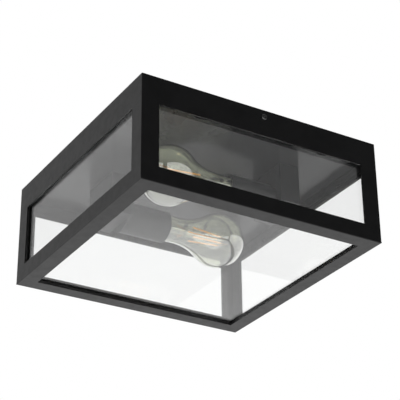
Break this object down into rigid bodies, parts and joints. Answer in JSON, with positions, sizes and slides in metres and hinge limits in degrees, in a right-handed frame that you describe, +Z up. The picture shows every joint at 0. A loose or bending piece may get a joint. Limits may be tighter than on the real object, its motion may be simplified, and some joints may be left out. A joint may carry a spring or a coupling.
{
  "type": "porch ceiling lantern",
  "caption": "Square glazed porch ceiling lantern: black strip-metal cage with clear panes over a ceiling tray that carries screw-in lamps lying head to tail.",
  "frame": {"origin": "centre of the ceiling plane, on the upper face of the mounting bar", "axes": "+Z up into the ceiling; -Y to the front, the side with the screw that shows in the picture; X along that side, with lamp a's tip towards -X"},
  "size_m": [0.29, 0.294, 0.12],
  "materials": {
    "cage_paint": "satin black powder coat",
    "tray_paint": "semi-gloss grey",
    "box_paint": "satin dark grey",
    "pane_glass": "clear, polished",
    "gasket": "matt",
    "seal": "closed-cell foam",
    "zinc": "zinc plated",
    "black_screw": "blackened steel",
    "holder": "moulded, fine matt",
    "steatite": "unglazed",
    "brass": "satin",
    "bulb_glass": "clear, polished",
    "stem_glass": "clear, polished",
    "phosphor": "orange coating, satin",
    "nickel": "nickel wire",
    "cap_metal": "rolled, satin",
    "cap_insulator": "vitreous black",
    "solder": "dull tin",
    "block_plastic": "white nylon",
    "lead_sleeve": "silicone sleeving",
    "grommet": "matt"
  },
  "bodies": {
    "tray": {"ceiling_tray": "tray_paint", "ceiling_seal": "seal", "mounting_bar": "zinc", "bar_spacers": "zinc", "bar_screws": "zinc", "terminal_block": "block_plastic", "terminal_screws": "zinc", "earth_terminal": "brass", "lead_grommets": "grommet", "lead_a": "lead_sleeve", "lead_b": "lead_sleeve", "box_screws": "zinc", "holder_box_a": "box_paint", "holder_box_b": "box_paint", "holder_sleeve_a": "holder", "holder_sleeve_b": "holder", "holder_inserts": "steatite", "holder_shells": "brass", "holder_tongues": "brass", "holder_nipples": "brass", "holder_nuts": "zinc"},
    "cage": {"corner_post_1": "cage_paint", "corner_post_2": "cage_paint", "corner_post_3": "cage_paint", "corner_post_4": "cage_paint", "top_rail_front": "cage_paint", "bottom_rail_front": "cage_paint", "side_pane_front": "pane_glass", "top_rail_right": "cage_paint", "bottom_rail_right": "cage_paint", "side_pane_right": "pane_glass", "top_rail_back": "cage_paint", "bottom_rail_back": "cage_paint", "side_pane_back": "pane_glass", "top_rail_left": "cage_paint", "bottom_rail_left": "cage_paint", "side_pane_left": "pane_glass", "bottom_pane": "pane_glass", "side_gaskets": "gasket", "bottom_gasket": "gasket", "glazing_beads": "cage_paint", "glass_clips": "cage_paint", "side_nuts": "zinc"},
    "screw_front": {"side_screw_front": "black_screw"},
    "screw_back": {"side_screw_back": "black_screw"},
    "lamp_a": {"lamp_a_envelope": "bulb_glass", "lamp_a_stem": "stem_glass", "lamp_a_filaments": "phosphor", "lamp_a_wires": "nickel", "lamp_a_cap": "cap_metal", "lamp_a_insulator": "cap_insulator", "lamp_a_contact": "solder"},
    "lamp_b": {"lamp_b_envelope": "bulb_glass", "lamp_b_stem": "stem_glass", "lamp_b_filaments": "phosphor", "lamp_b_wires": "nickel", "lamp_b_cap": "cap_metal", "lamp_b_insulator": "cap_insulator", "lamp_b_contact": "solder"}
  },
  "joints": [
    {"name": "cage_drop", "type": "slide", "parent": "tray", "child": "cage", "axis": [0, 0, -1], "range_m": [0, 0.12]},
    {"name": "screw_front_out", "type": "slide", "parent": "cage", "child": "screw_front", "axis": [0, -1, 0], "range_m": [0, 0.006]},
    {"name": "screw_back_out", "type": "slide", "parent": "cage", "child": "screw_back", "axis": [0, 1, 0], "range_m": [0, 0.006]},
    {"name": "lamp_a_out", "type": "slide", "parent": "tray", "child": "lamp_a", "axis": [-1, 0, 0], "range_m": [0, 0.03]},
    {"name": "lamp_b_out", "type": "slide", "parent": "tray", "child": "lamp_b", "axis": [1, 0, 0], "range_m": [0, 0.03]}
  ]
}
